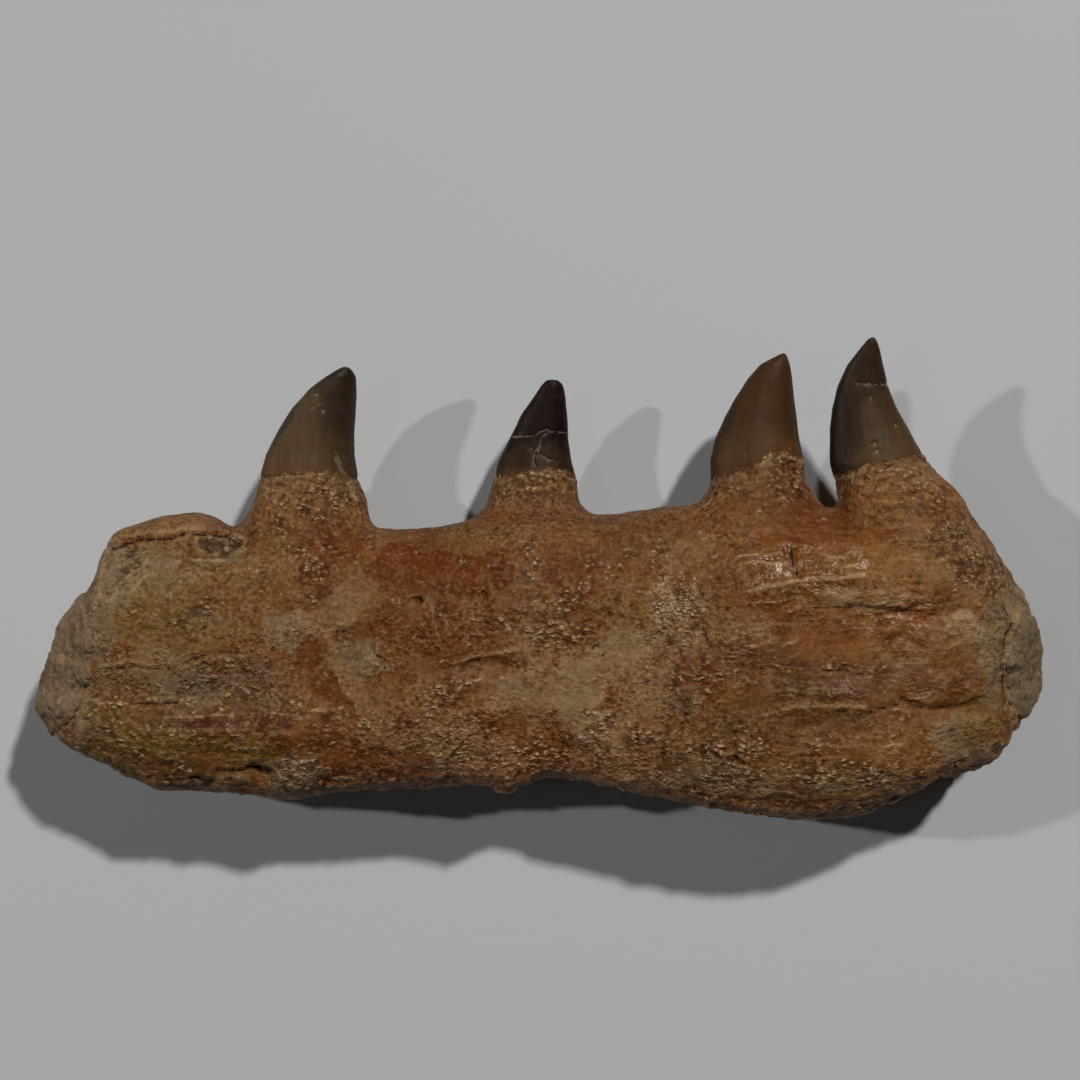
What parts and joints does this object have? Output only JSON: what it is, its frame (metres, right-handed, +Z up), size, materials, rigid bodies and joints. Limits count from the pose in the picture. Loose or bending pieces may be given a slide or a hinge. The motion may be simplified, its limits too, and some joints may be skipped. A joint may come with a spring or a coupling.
{
  "type": "fossil mosasaur jaw section",
  "caption": "Fossil marine reptile jaw section lying on its side, with tall curved teeth in bony pedestals and grey rock showing at both broken ends.",
  "frame": {"origin": "middle of the footprint, on the surface that the jaw rests on", "axes": "+X along the jaw from its front end to its rear end, +Y towards the tooth tips, +Z up from the resting side to the side that shows"},
  "size_m": [0.2998, 0.1436, 0.0558],
  "materials": {
    "fossil_bone": "satin",
    "matrix_rock": "matte",
    "enamel_olive": "satin",
    "enamel_black": "satin",
    "enamel_red": "satin",
    "enamel_brown": "satin"
  },
  "bodies": {
    "root": {"jaw_bone": "fossil_bone", "matrix_front_end": "matrix_rock", "matrix_rear_end": "matrix_rock", "tooth_1": "enamel_olive", "tooth_2": "enamel_black", "tooth_3": "enamel_red", "tooth_4": "enamel_brown"}
  },
  "joints": []
}
